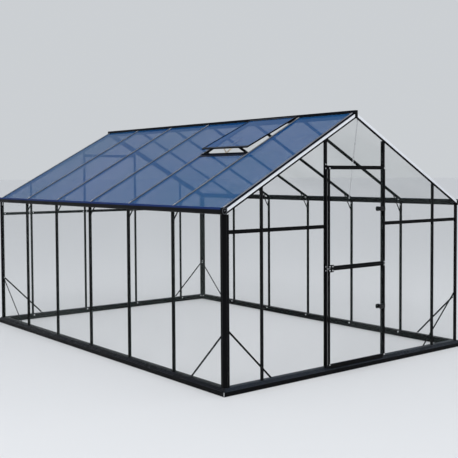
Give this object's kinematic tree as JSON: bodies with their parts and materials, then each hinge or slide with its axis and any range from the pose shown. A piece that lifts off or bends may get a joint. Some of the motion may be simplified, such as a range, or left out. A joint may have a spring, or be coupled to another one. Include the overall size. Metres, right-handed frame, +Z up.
{
  "type": "glass greenhouse",
  "caption": "Aluminium-framed glass greenhouse with a gable roof, a split hinged door in one gable and an open roof vent.",
  "frame": {"origin": "middle of the footprint at the underside of the base", "axes": "+X to the right seen from the door gable, +Y along the building away from the door, +Z up"},
  "size_m": [3.06, 4.5218, 2.3351],
  "materials": {
    "frame_black": "satin black powder coat",
    "glass_clear": "clear horticultural glass",
    "glass_roof": "clear glass that mirrors the sky",
    "trim_pale": "satin",
    "opener_cream": "satin",
    "handle_black": "semi-gloss black",
    "pivot_steel": "satin black"
  },
  "bodies": {
    "house": {"base_right": "frame_black", "base_back": "frame_black", "base_left": "frame_black", "base_front": "frame_black", "corner_posts": "frame_black", "left_wall_bars": "frame_black", "right_wall_bars": "frame_black", "left_wall_caps": "frame_black", "right_wall_caps": "frame_black", "left_wall_glass": "glass_clear", "right_wall_glass": "glass_clear", "front_gable_bars": "frame_black", "back_gable_bars": "frame_black", "front_gable_caps": "frame_black", "back_gable_caps": "frame_black", "door_posts": "frame_black", "door_header": "frame_black", "front_cross_rails": "frame_black", "back_cross_rails": "frame_black", "back_gable_tie": "frame_black", "front_gable_glass": "glass_clear", "back_gable_glass": "glass_clear", "right_gutter": "frame_black", "left_gutter": "frame_black", "gutter_end_caps": "frame_black", "ridge_bar": "frame_black", "ridge_end_caps": "frame_black", "left_rafters": "frame_black", "right_rafters": "frame_black", "left_rafter_caps": "frame_black", "right_rafter_caps": "frame_black", "left_roof_glass": "glass_roof", "right_roof_glass": "glass_roof", "front_verge_bars": "frame_black", "back_verge_bars": "frame_black", "verge_trims": "trim_pale", "corner_braces": "frame_black", "roof_braces": "trim_pale", "knee_braces": "frame_black", "vent_sash": "frame_black", "vent_glass": "glass_roof", "vent_cill": "frame_black", "opener_bracket": "opener_cream", "opener_arm": "opener_cream", "opener_strap": "opener_cream", "opener_cylinder": "opener_cream", "door_pivots": "pivot_steel"},
    "door_lower": {"lower_door_frame": "frame_black", "lower_door_glass": "glass_clear"},
    "door_upper": {"upper_door_frame": "frame_black", "upper_door_glass": "glass_clear"},
    "lower_handle": {"lower_door_handle": "handle_black"},
    "upper_handle": {"upper_door_handle": "handle_black"}
  },
  "joints": [
    {"name": "lower_door_hinge", "type": "hinge", "parent": "house", "child": "door_lower", "pos_m": [-0.3565, -2.2425, 0.5], "axis": [0, 0, -1], "range_deg": [0, 110]},
    {"name": "upper_door_hinge", "type": "hinge", "parent": "house", "child": "door_upper", "pos_m": [-0.3565, -2.2425, 1.387], "axis": [0, 0, -1], "range_deg": [0, 110]},
    {"name": "lower_handle_turn", "type": "hinge", "parent": "door_lower", "child": "lower_handle", "pos_m": [0.342, -2.24, 0.535], "axis": [0, -1, 0], "range_deg": [0, 40], "stiffness_Nm_per_rad": 0.8, "springref_deg": -17.19},
    {"name": "upper_handle_turn", "type": "hinge", "parent": "door_upper", "child": "upper_handle", "pos_m": [0.342, -2.24, 1.442], "axis": [0, -1, 0], "range_deg": [0, 40], "stiffness_Nm_per_rad": 0.8, "springref_deg": -17.19}
  ]
}
